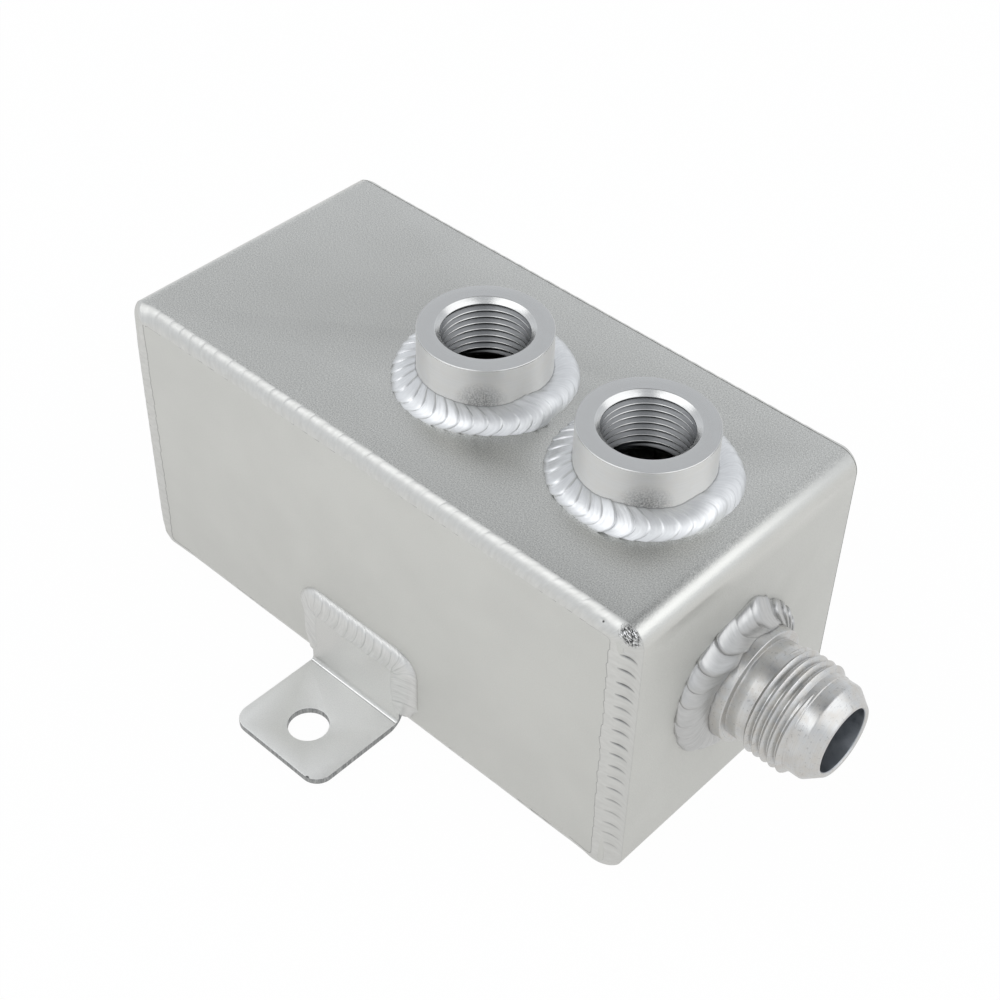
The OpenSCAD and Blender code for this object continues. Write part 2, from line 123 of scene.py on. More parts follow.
class Nodes:
    """A small wrapper that adds nodes to a tree and links them by socket name."""

    def __init__(self, tree):
        self.tree = tree

    def add(self, kind, values=None, **settings):
        node = self.tree.nodes.new(kind)
        for key, value in settings.items():
            setattr(node, key, value)
        self.give(node.inputs, values or {})
        return node

    def give(self, sockets, values):
        for key, value in values.items():
            self.feed(sockets[key], value)

    def feed(self, socket, value):
        if isinstance(value, bpy.types.NodeSocket):
            self.tree.links.new(value, socket)
        else:
            socket.default_value = value

    def math(self, operation, first, second=0.0, third=0.0, clamp=False):
        node = self.add("ShaderNodeMath", {0: first, 1: second, 2: third}, operation=operation,
                        use_clamp=clamp)
        return node.outputs[0]

    def ramp(self, value, low, high, start=0.0, end=1.0, smooth=False):
        kind = "SMOOTHSTEP" if smooth else "LINEAR"
        node = self.add("ShaderNodeMapRange", {"Value": value, "From Min": low, "From Max": high,
                                               "To Min": start, "To Max": end},
                        interpolation_type=kind)
        return node.outputs["Result"]

    def noise(self, vector, scale, detail=2.0, roughness=0.5):
        node = self.add("ShaderNodeTexNoise", {"Vector": vector, "Scale": scale, "Detail": detail,
                                               "Roughness": roughness})
        return node.outputs["Fac"]

    def mix(self, factor, first, second):
        node = self.add("ShaderNodeMix", {"Factor": factor}, data_type="RGBA")
        self.give(node.inputs, {6: first, 7: second})
        return node.outputs[2]

    def place(self, kind="Object"):
        return self.add("ShaderNodeTexCoord").outputs[kind]

    def split(self, vector):
        return self.add("ShaderNodeSeparateXYZ", {0: vector}).outputs

    def bump(self, height, distance):
        node = self.add("ShaderNodeBump", {"Height": height, "Distance": distance, "Strength": 1.0})
        return node.outputs["Normal"]

    def near(self, place, centre, inner, outer):
        """A mask that is 1 within the inner radius of centre and 0 past the outer one."""
        gap = self.add("ShaderNodeVectorMath", {0: place, 1: centre}, operation="DISTANCE")
        return self.ramp(gap.outputs["Value"], inner, outer, 1.0, 0.0)


def shader_group(name, inputs, outputs):
    """A new node group with named float or vector sockets."""
    tree = bpy.data.node_groups.new(name, "ShaderNodeTree")
    for label, kind in inputs.items():
        tree.interface.new_socket(label, in_out="INPUT", socket_type=kind)
    for label, kind in outputs.items():
        tree.interface.new_socket(label, in_out="OUTPUT", socket_type=kind)
    nodes = Nodes(tree)
    return tree, nodes, nodes.add("NodeGroupInput").outputs, nodes.add("NodeGroupOutput").inputs


FLOAT = "NodeSocketFloat"
VECTOR = "NodeSocketVector"


def blasted_grain_group():
    """Sandy grain of a bead-blasted face, with a faint cloudy tone and a few dark specks."""
    tree, n, given, out = shader_group(
        "blasted_grain",
        {"Grain": FLOAT, "Depth": FLOAT, "Specks": FLOAT},
        {"Tone": FLOAT, "Cloud": FLOAT, "Speck": FLOAT, "Normal": VECTOR})
    place = n.place()
    fine = n.noise(place, given["Grain"], 2.0, 0.6)
    cloud = n.noise(place, 60.0, 2.0, 0.5)
    cells = n.add("ShaderNodeTexVoronoi", {"Vector": place, "Scale": 95.0})
    rare = n.add("ShaderNodeSeparateColor", {0: cells.outputs["Color"]}).outputs[0]
    chosen = n.math("LESS_THAN", rare, given["Specks"])
    spot = n.ramp(cells.outputs["Distance"], 0.012, 0.045, 1.0, 0.0)
    n.give(out, {"Tone": n.ramp(fine, 0.3, 0.7), "Cloud": n.ramp(cloud, 0.35, 0.65),
                 "Speck": n.math("MULTIPLY", chosen, spot, clamp=True),
                 "Normal": n.bump(fine, given["Depth"])})
    return tree


def turned_rings_group():
    """Tool marks of a lathe: fine rings round the Z axis of the vector that it is given."""
    tree, n, given, out = shader_group(
        "turned_rings",
        {"Vector": VECTOR, "Fine": FLOAT, "Depth": FLOAT},
        {"Tone": FLOAT, "Patch": FLOAT, "Speck": FLOAT, "Radius": FLOAT, "Normal": VECTOR})
    parts = n.split(given["Vector"])
    radius = n.math("POWER", n.math("ADD", n.math("MULTIPLY", parts[0], parts[0]),
                                    n.math("MULTIPLY", parts[1], parts[1])), 0.5)
    along = n.math("ADD", radius, parts[2])
    across = n.math("SUBTRACT", radius, parts[2])
    rings = n.add("ShaderNodeCombineXYZ", {0: along, 1: across}).outputs[0]
    marks = n.noise(rings, given["Fine"], 3.0, 0.65)
    patch = n.noise(given["Vector"], 420.0, 3.0, 0.6)
    speck = n.noise(given["Vector"], 1500.0, 2.0, 0.7)
    n.give(out, {"Tone": n.ramp(marks, 0.3, 0.7), "Patch": n.ramp(patch, 0.38, 0.66),
                 "Speck": n.ramp(speck, 0.6, 0.68), "Radius": radius,
                 "Normal": n.bump(marks, given["Depth"])})
    return tree


def weld_lines_group():
    """Fine frozen lines inside a weld's ripples, which follow its UV map along the run."""
    tree, n, given, out = shader_group(
        "weld_lines",
        {"Lines": FLOAT, "Depth": FLOAT},
        {"Tone": FLOAT, "ToeShade": FLOAT, "Normal": VECTOR})
    uv = n.place("UV")
    parts = n.split(uv)
    along = n.math("MULTIPLY", parts[0], given["Lines"])
    across = n.math("MULTIPLY", parts[1], 2.2)
    stretched = n.add("ShaderNodeCombineXYZ", {0: along, 1: across}).outputs[0]
    lines = n.noise(stretched, 1.0, 2.0, 0.55)
    place = n.place()
    skin = n.noise(place, 1400.0, 2.0, 0.5)
    height = n.math("ADD", lines, n.math("MULTIPLY", skin, 0.3))
    # Toe mask: painted shade along the weld's toes, where the bead meets the sheet; full at the inner
    # toe, 0.3 of it at the outer one.
    toe = n.math("MAXIMUM", n.ramp(parts[1], 0.015, 0.045, 1.0, 0.0),
                 n.ramp(parts[1], 0.965, 1.0, 0.0, 0.3))
    n.give(out, {"Tone": n.ramp(lines, 0.3, 0.7), "ToeShade": toe,
                 "Normal": n.bump(height, given["Depth"])})
    return tree


GROUPS = {"blasted": blasted_grain_group(), "turned": turned_rings_group(),
          "weld": weld_lines_group()}
DARK = (0.08, 0.08, 0.08, 1)
SAND = 3300.0
TURNED_SAND = 5200.0
WELD_LINES = 1500.0
SATIN_FROM = TANK_HEIGHT - 9 * MM
# Inner and outer reach, and share, of the painted shade patch at the foot of each port's boss.
PAINTED_SHADE_REACH = (1.5 * MM, 6.5 * MM)
PAINTED_SHADE_SHARE = 0.62


def bare_nodes(holder):
    """The emptied node tree of a material or a world."""
    holder.use_nodes = True
    holder.node_tree.nodes.clear()
    return Nodes(holder.node_tree)


def new_material(name):
    """A material whose one shader is a metal."""
    material = bpy.data.materials.new(name)
    nodes = bare_nodes(material)
    shader = nodes.add("ShaderNodeBsdfPrincipled")
    nodes.add("ShaderNodeOutputMaterial", {"Surface": shader.outputs[0]})
    shader.inputs["Metallic"].default_value = 1.0
    return material, nodes, shader


def use_group(nodes, key, values):
    return nodes.add("ShaderNodeGroup", values, node_tree=GROUPS[key]).outputs


def blasted_metal(name, light, dark, grain, depth, specks, rough_low, rough_high, nicks=(),
                  calm=0.2, rough_below=0.0, level=0.5):
    """Bead-blasted aluminium, satin, with a sandy grain and dark nicks at the given places. The
    grain shows in full on the tank's level top, and calm is its share on the other faces, which
    are rougher by rough_below. Level is painted light on those other faces: how light their colour is
    between dark and light, where the top has 0.53."""
    material, n, shader = new_material(name)
    grain_out = use_group(n, "blasted", {"Grain": grain, "Depth": depth, "Specks": specks})
    place = n.place()
    height = n.split(place)[2]
    share = n.ramp(height, TANK_HEIGHT - 0.8 * MM, TANK_HEIGHT - 0.1 * MM, calm, 1.0)
    spread = n.math("MULTIPLY", n.math("SUBTRACT", grain_out["Tone"], 0.5), share)
    cloud = n.math("MULTIPLY", n.math("SUBTRACT", grain_out["Cloud"], 0.5), 0.05)
    # Painted light: faces below the top get the middle tone level, and the level top 0.53.
    middle = n.ramp(share, calm, 1.0, level, 0.53)
    colour = n.mix(n.math("ADD", n.math("ADD", spread, cloud), middle, clamp=True), dark, light)
    colour = n.mix(grain_out["Speck"], colour, DARK)
    for centre, radius in nicks:
        colour = n.mix(n.near(place, centre, radius * 0.6, radius), colour, DARK)
    low = n.ramp(height, SATIN_FROM, TANK_HEIGHT - BEND, rough_below, 0.0)
    rough = n.ramp(grain_out["Tone"], 0.0, 1.0, rough_low, rough_high)
    n.give(shader.inputs, {"Base Color": colour, "Roughness": n.math("ADD", rough, low),
                           "Normal": grain_out["Normal"]})
    return material


def sheared_metal(name, light, dark):
    """A sheet's sheared edge: dull, with short upright scores."""
    material, n, shader = new_material(name)
    place = n.place()
    upright = n.add("ShaderNodeMapping", {"Vector": place, "Scale": (1.0, 1.0, 0.12)})
    scores = n.noise(upright.outputs[0], 1900.0, 3.0, 0.7)
    colour = n.mix(n.ramp(scores, 0.35, 0.65), dark, light)
    n.give(shader.inputs, {"Base Color": colour, "Roughness": 0.5,
                           "Normal": n.bump(scores, 0.05 * MM)})
    return material


def turned_metal(name, centre, axis, light, dark, stain, fine, depth, rough_low, rough_high,
                 specks=0.0, bore=0.0, streak=0.0, painted_shade=None):
    """Aluminium turned on a lathe about an axis through centre, with painted shade, a darker bluish
    grey, inside the bore's radius.
    Streak draws its reflections out along Z, as fine tool marks round an upright piece do, and
    the last argument is the centre of a noisy dark patch of painted shade at the foot of a port's boss."""
    material, n, shader = new_material(name)
    place = n.place()
    mapping = n.add("ShaderNodeMapping", {"Vector": place, "Location": centre, "Rotation": axis},
                    vector_type="TEXTURE")
    rings = use_group(n, "turned", {"Vector": mapping.outputs[0], "Fine": fine, "Depth": depth})
    colour = n.mix(rings["Tone"], dark, light)
    colour = n.mix(n.math("MULTIPLY", rings["Patch"], 0.7), colour, stain)
    colour = n.mix(n.math("MULTIPLY", rings["Speck"], specks), colour, DARK)
    # Painted shade: a noisy dark patch on the boss's wall just above the weld.
    if painted_shade:
        shade_patch = n.math("MULTIPLY", n.near(place, painted_shade, *PAINTED_SHADE_REACH),
                      n.ramp(n.noise(place, 2600.0, 2.0, 0.6), 0.38, 0.62, 0.25, 1.0))
        colour = n.mix(n.math("MULTIPLY", shade_patch, PAINTED_SHADE_SHARE), colour, DARK)
    # Painted shade inside the bore: the colour goes three quarters of the way to a dark bluish grey.
    inside = n.ramp(rings["Radius"], bore, bore + 0.15 * MM, 0.75, 0.0)
    colour = n.mix(inside, colour, (0.3, 0.33, 0.37, 1))
    rough = n.ramp(rings["Patch"], 0.0, 1.0, rough_low, rough_high)
    n.give(shader.inputs, {"Base Color": colour, "Roughness": rough, "Normal": rings["Normal"]})
    if streak:
        shader.inputs["Anisotropic"].default_value = streak
        n.feed(shader.inputs["Tangent"], n.add("ShaderNodeCombineXYZ", {2: 1.0}).outputs[0])
    return material


def weld_metal(name, light, dark, lines, depth, rough_low, rough_high, toe=0.0, crescent=0.4,
               soot=None, pits=()):
    """Weld metal with frozen lines, painted shade along its toes and a thin dark line of painted shade
    under each ripple's edge.
    Soot, if given, is a dark streaky crust, and each pit is darkened with painted shade."""
    material, n, shader = new_material(name)
    lines_out = use_group(n, "weld", {"Lines": lines, "Depth": depth})
    place = n.place()
    colour = n.mix(lines_out["Tone"], dark, light)
    # Painted shade in the crease along the toes, as strong as toe says.
    colour = n.mix(n.math("MULTIPLY", lines_out["ToeShade"], toe), colour, DARK)
    # Painted shade: a thin dark line under each ripple's crescent edge, read from the bead's crescent
    # attribute.
    under = n.add("ShaderNodeAttribute", attribute_name="crescent").outputs["Fac"]
    colour = n.mix(n.math("MULTIPLY", under, crescent, clamp=True), colour, DARK)
    rough = n.ramp(lines_out["Tone"], 0.0, 1.0, rough_high, rough_low)
    # Painted shade in each pinhole, over the dent that the bead's mesh holds.
    for centre, radius in pits:
        colour = n.mix(n.near(place, centre, radius * 0.5, radius), colour, DARK)
    if soot:
        centre, turn, reach = soot
        mapping = n.add("ShaderNodeMapping", {"Vector": place, "Location": centre,
                                              "Rotation": turn, "Scale": reach},
                        vector_type="TEXTURE")
        ragged = n.math("MULTIPLY", n.noise(place, 1300.0, 3.0, 0.6), 0.8)
        away = n.add("ShaderNodeVectorMath", {0: mapping.outputs[0]}, operation="LENGTH")
        near = n.ramp(n.math("ADD", away.outputs["Value"], ragged), 1.1, 1.45, 1.0, 0.0)
        drawn = n.add("ShaderNodeVectorMath", {0: mapping.outputs[0], 1: (1.0, 2.2, 2.6)},
                      operation="MULTIPLY")
        streaks = n.ramp(n.noise(drawn.outputs[0], 3.0, 4.0, 0.7), 0.42, 0.53)
        mask = n.math("MULTIPLY", near, streaks, clamp=True)
        colour = n.mix(mask, colour, (0.05, 0.05, 0.05, 1))
        burnt = n.ramp(n.noise(drawn.outputs[0], 4.3, 1.0, 0.5), 0.57, 0.61)
        colour = n.mix(n.math("MULTIPLY", near, burnt, clamp=True), colour, (0.95, 0.95, 0.95, 1))
        rough = n.math("ADD", rough, n.math("MULTIPLY", near, 0.25))
    n.give(shader.inputs, {"Base Color": colour, "Roughness": rough,
                           "Normal": lines_out["Normal"]})
    return material


# Mesh helpers

def publish(bm, name, materials, stands_for, smooth_angle=32.0):
    """Turns a bmesh into a piece of the object that rides on the body and replaces CAD nodes."""
    limit = math.radians(smooth_angle)
    for face in bm.faces:
        face.smooth = True
    for edge in bm.edges:
        edge.smooth = edge.is_manifold and edge.calc_face_angle(0.0) < limit
    piece = mesh_object(bm, name, materials)
    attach(piece, "root")
    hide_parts(*stands_for)
    return piece


def merged_copy(node):
    """A CAD node's mesh with its flat faces whole again, ready to be bevelled."""
    bm = bmesh.new()
    bm.from_mesh(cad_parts[node].data)
    bmesh.ops.remove_doubles(bm, verts=bm.verts, dist=0.002 * MM)
    bmesh.ops.dissolve_limit(bm, angle_limit=math.radians(0.5), verts=bm.verts, edges=bm.edges,
                             use_dissolve_boundaries=False, delimit=set())
    return bm


def ease_edges(bm, offset, segments=2, corner_angle=40.0, chosen=None):
    """Bevels the sharp edges, or only those of them whose middle the test chooses."""
    sharp = [e for e in bm.edges
             if e.is_manifold and e.calc_face_angle(0.0) > math.radians(corner_angle)
             and (chosen is None or chosen((e.verts[0].co + e.verts[1].co) / 2))]
    bmesh.ops.bevel(bm, geom=sharp, offset=offset, offset_type="OFFSET", segments=segments,
                    profile=0.5, affect="EDGES", clamp_overlap=True, material=-1)


def rounded_profile(points, steps=3):
    """An (axial, radius) outline whose corners carry their own rounding: (axial, radius, round)."""
    outline = []
    count = len(points)
    for index, (axial, radius, rounding) in enumerate(points):
        here = Vector((axial, radius))
        if rounding <= 0:
            outline.append(here)
            continue
        before = Vector(points[index - 1][:2]) - here
        after = Vector(points[(index + 1) % count][:2]) - here
        start = here + before.normalized() * rounding
        end = here + after.normalized() * rounding
        for step in range(steps + 1):
            share = step / steps
            outline.append(start * (1 - share) ** 2 + here * 2 * share * (1 - share) + end * share ** 2)
    return outline


def lathe(bm, outline, steps=128):
    """Spins a closed (axial, radius) outline round the X axis."""
    ring = [bm.verts.new((p.x, 0, p.y)) for p in outline]
    edges = [bm.edges.new((ring[i], ring[(i + 1) % len(ring)])) for i in range(len(ring))]
    bmesh.ops.spin(bm, geom=ring + edges, cent=(0, 0, 0), axis=(1, 0, 0), angle=2 * math.pi,
                   steps=steps, use_merge=True, use_duplicate=False)
    bmesh.ops.remove_doubles(bm, verts=bm.verts, dist=0.001 * MM)


def close_ends(bm):
    """Fills every open end of a mesh."""
    holes = [e for e in bm.edges if e.is_boundary]
    if holes:
        bmesh.ops.holes_fill(bm, edges=holes, sides=0)


def ease(value):
    """A smooth step from 0 to 1."""
    value = min(1.0, max(0.0, value))
    return value * value * (3 - 2 * value)


def mix(first, second, share):
    return first + (second - first) * share


THREAD_STEPS = 96


def thread_ridge(bm, base_r, crest_r, start, turns, pitch, base_half, crest_half, fade=0.6):
    """Adds a helical ridge round the X axis that sinks into base_r over its first and last turns."""
    rows = round(turns * THREAD_STEPS)
    corners = [(-base_half, 0.0), (-crest_half, 0.9), (0.0, 1.0), (crest_half, 0.9), (base_half, 0.0)]
    grid = bmesh.ops.create_grid(bm, x_segments=rows, y_segments=len(corners), size=0.5)["verts"]
    for vert in grid:
        row = round((vert.co.x + 0.5) * rows)
        column = round((vert.co.y + 0.5) * len(corners)) % len(corners)
        turn = row / THREAD_STEPS
        left = ease(min(turn, turns - turn) / fade)
        offset, height = corners[column]
        radius = mix(base_r, mix(base_r, crest_r, left), height)
        angle = 2 * math.pi * turn
        vert.co = (start + turn * pitch + offset * mix(0.2, 1, left), radius * math.sin(angle),
                   radius * math.cos(angle))
    bmesh.ops.remove_doubles(bm, verts=grid, dist=0.001 * MM)
    close_ends(bm)


def turned_up(bm, centre):
    """Stands a piece made round X up along Z, and puts it at its centre."""
    turn = Matrix.Rotation(-math.pi / 2, 4, "Y")
    bmesh.ops.transform(bm, matrix=Matrix.Translation(centre) @ turn, verts=bm.verts)


# Sheet metal

PLATE_EASE = 0.95 * MM
SHEET_EASE = 0.2 * MM


def sheet_pieces(sheet, plate):
    """The folded wrap, the baffle, and the side plates, eased where the welds cover them."""
    for node, offset in (("tank_wrap", SHEET_EASE), ("baffle", 0.75 * SHEET_EASE)):
        bm = merged_copy(node)
        ease_edges(bm, offset)
        publish(bm, node + "_sheet", [sheet], [node], 26.0)
    outer = TANK_WIDTH / 2 - SHEET / 3
    for node in ("side_plate_near", "side_plate_far"):
        bm = merged_copy(node)
        ease_edges(bm, PLATE_EASE, 2, chosen=lambda spot: abs(spot.y) > outer)
        publish(bm, node + "_sheet", [plate], [node], 26.0)


CREASE_AT = 28.0
CREASE_HEIGHT = 0.13 * MM
CREASE_HALF = 0.22 * MM


def crease_ridge(bm, side):
    """The thin raised line that the press leaves along the inside of a bracket's fold."""
    depth_sign = SIDE_SIGN[side]
    turn = math.radians(CREASE_AT)
    inset = BRACKET_SHEET + BRACKET_CREASE
    centre = Vector((0, TANK_WIDTH / 2 + inset, inset))
    ray = Vector((0, -math.sin(turn), -math.cos(turn)))
    slide = Vector((0, math.cos(turn), -math.sin(turn)))
    section = [(-CREASE_HALF, 0.05 * MM), (-CREASE_HALF / 3, -CREASE_HEIGHT),
               (CREASE_HALF / 3, -CREASE_HEIGHT), (CREASE_HALF, 0.05 * MM)]
    half = BRACKET_SIZE.x / 2 - 0.3 * MM
    ends = []
    for x in (BRACKET_MID.x - half, BRACKET_MID.x + half):
        ring = [centre + ray * (BRACKET_CREASE + deep) + slide * out for out, deep in section]
        ends.append([bm.verts.new((x, depth_sign * p.y, p.z)) for p in ring])
    count = len(section)
    rings = [(ends[0][i], ends[0][(i + 1) % count], ends[1][(i + 1) % count], ends[1][i])
             for i in range(count)]
    # The ridge's faces take material 2, near white: painted highlight on the raised press line.
    for corners in rings + ends:
        bm.faces.new(corners).material_index = 2
    bmesh.ops.recalc_face_normals(bm, faces=bm.faces)


def tight_fold(bm, side):
    """Draws the inside of a bracket's fold in to the small radius that the press leaves."""
    depth_sign = SIDE_SIGN[side]
    inset = BRACKET_SHEET + BRACKET_FOLD
    for vert in bm.verts:
        deep = TANK_WIDTH / 2 + inset - depth_sign * vert.co.y
        down = inset - vert.co.z
        if min(deep, down) > -0.01 * MM and abs(math.hypot(deep, down) - BRACKET_FOLD) < 0.05 * MM:
            share = BRACKET_CREASE / BRACKET_FOLD
            near = TANK_WIDTH / 2 + BRACKET_SHEET
            vert.co.y = depth_sign * (near + BRACKET_CREASE - deep * share)
            vert.co.z = BRACKET_SHEET + BRACKET_CREASE - down * share


def bracket_piece(side, skin, edge, crease_highlight, flat):
    """Folded bracket with eased corners, dull sheared edges and the press line in its fold. The press
    line takes a near-white colour, a painted highlight over a real ridge, and the flange a lighter copy
    of the skin, painted light.
    """
    node = "bracket_" + side
    bm = merged_copy(node)
    tight_fold(bm, side)
    ease_edges(bm, 0.22 * MM, 2)
    bm.normal_update()
    flange_top = BRACKET_LOW.z + BRACKET_SHEET
    past = TANK_WIDTH / 2 + BRACKET_SHEET + BRACKET_FOLD / 2
    for face in bm.faces:
        spot = face.calc_center_median()
        cut = abs(face.normal.z) < 0.5 and spot.z < flange_top and abs(spot.y) > past
        fold_end = abs(face.normal.x) > 0.8 and spot.z < BRACKET_FOLD + BRACKET_SHEET
        # Flange faces take material 3, a lighter copy of the skin: painted light.
        face.material_index = 1 if cut or fold_end else 3 if spot.z < flange_top + 0.01 * MM else 0
    crease_ridge(bm, side)
    return publish(bm, node + "_folded", [skin, edge, crease_highlight, flat], [node], 30.0)


# Turned fittings

PORT_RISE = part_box("rear_port")[1].z - TANK_HEIGHT
PORT_R = (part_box("rear_port")[1].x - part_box("rear_port")[0].x) / 2
PORT_SPIGOT_R = 13.0 * MM
PORT_SEAT_R = 11.65 * MM
PORT_SEAT = 1.25 * MM
PORT_NECK = 0.25 * MM
PORT_GROOVE = 0.7 * MM
PORT_THREAD_R = 11.1 * MM
PORT_CREST_R = 10.25 * MM
PORT_THREAD_PITCH = 1.814 * MM
OUTLET_THREAD_PITCH = 2.117 * MM


def port_piece(node, materials):
    """Port with a rounded rim, a seat chamfer and a cut thread down its bore."""
    middle = size_of(node)[3]
    floor = -SHEET
    bm = bmesh.new()
    seat_r = PORT_SEAT_R - PORT_SEAT
    neck_at = PORT_RISE - PORT_SEAT - PORT_NECK
    run = neck_at - PORT_GROOVE / 2 - floor - 1.1 * MM
    thread_ridge(bm, PORT_THREAD_R + 0.05 * MM, PORT_CREST_R, floor + 0.7 * MM,
                 run / PORT_THREAD_PITCH, PORT_THREAD_PITCH, 0.84 * MM, 0.14 * MM, 0.3)
    lathe(bm, rounded_profile([
        (floor, PORT_THREAD_R, 0.0),
        (floor, PORT_SPIGOT_R, 0.2 * MM),
        (-0.01 * MM, PORT_SPIGOT_R, 0.0),
        (-0.01 * MM, PORT_R, 0.0),
        (PORT_RISE, PORT_R, 0.3 * MM),
        (PORT_RISE, PORT_SEAT_R, 0.12 * MM),
        (PORT_RISE - PORT_SEAT, seat_r, 0.08 * MM),
        (neck_at, seat_r, 0.08 * MM),
        (neck_at - PORT_GROOVE, PORT_THREAD_R, 0.0)]), 160)
    bmesh.ops.recalc_face_normals(bm, faces=bm.faces)
    for face in bm.faces:
        spot = face.calc_center_median()
        radius = math.hypot(spot.y, spot.z)
        if radius > PORT_R - 0.1 * MM and spot.x < PORT_RISE - 0.3 * MM:
            face.material_index = 1
        # Thread flanks and roots in the bore take the dark thread material: painted shade.
        elif spot.x < neck_at and PORT_CREST_R + 0.1 * MM < radius < PORT_SEAT_R:
            face.material_index = 2
    turned_up(bm, Vector((middle.x, middle.y, TANK_HEIGHT)))
    return publish(bm, node + "_turned", materials, [node], 30.0)


def outlet_piece(material):
    """Outlet with collar, neck, helical thread, land, flare cone and a chamfered bore."""
    face_x = WRAP_HIGH.x
    crest_r = 13.5 * MM
    root_r = 12.25 * MM
    land_r = 12.05 * MM
    neck_r = 12.6 * MM
    lip_r = 9.2 * MM
    bore_r = 8.2 * MM
    spigot_r = 11.0 * MM
    collar_r = OUTLET_SIZE.y / 2
    collar = 6.4 * MM
    groove = 0.7 * MM
    thread_at = collar + 3.0 * MM
    turns = 6
    land_at = thread_at + turns * OUTLET_THREAD_PITCH
    cone_at = land_at + 3.2 * MM
    lip_at = OUTLET_HIGH.x - face_x
    bm = bmesh.new()
    thread_ridge(bm, root_r - 0.05 * MM, crest_r, thread_at + 1.3 * MM, turns - 1.0,
                 OUTLET_THREAD_PITCH, 0.98 * MM, 0.2 * MM, 0.2)
    lathe(bm, rounded_profile([
        (-SHEET, bore_r, 0.0),
        (-SHEET, spigot_r, 0.2 * MM),
        (0.0, spigot_r, 0.0),
        (0.0, collar_r, 0.0),
        (collar, collar_r, 0.4 * MM),
        (collar, neck_r - 0.15 * MM, 0.12 * MM),
        (collar + groove, neck_r - 0.15 * MM, 0.08 * MM),
        (collar + groove, neck_r, 0.08 * MM),
        (thread_at - 0.2 * MM, neck_r, 0.3 * MM),
        (thread_at + 1.4 * MM, root_r, 0.0),
        (land_at - 0.2 * MM, root_r, 0.0),
        (land_at, land_r, 0.0),
        (cone_at, land_r, 0.35 * MM),
        (lip_at, lip_r, 0.22 * MM),
        (lip_at, bore_r + 0.45 * MM, 0.1 * MM),
        (lip_at - 0.45 * MM, bore_r, 0.1 * MM)]), 160)
    bmesh.ops.recalc_face_normals(bm, faces=bm.faces)
    bmesh.ops.translate(bm, vec=(face_x, OUTLET_MID.y, OUTLET_MID.z), verts=bm.verts)
    return publish(bm, "outlet_turned", [material], ["outlet_fitting"], 28.0)


# Weld beads

LUMP_SHARES = (0.0, 0.04, 0.15, 0.3, 0.44, 0.56, 0.67, 0.76, 0.84, 0.9, 0.95, 0.98)
FACE_COLUMNS = 22
CRESCENT_WIDTH = 0.11


def along_table(table, place):
    """Reads a value between the (place, value) pairs of a table."""
    for (low, first), (high, second) in zip(table, table[1:]):
        if place <= high:
            return mix(first, second, ease((place - low) / (high - low)))
    return table[-1][1]


def lump(share):
    """Height across one ripple: a slow rise and a sharp fall at its crescent edge."""
    return 1.25 * share ** 1.3 * (1 - share ** 10) if 0 < share < 1 else 0.0


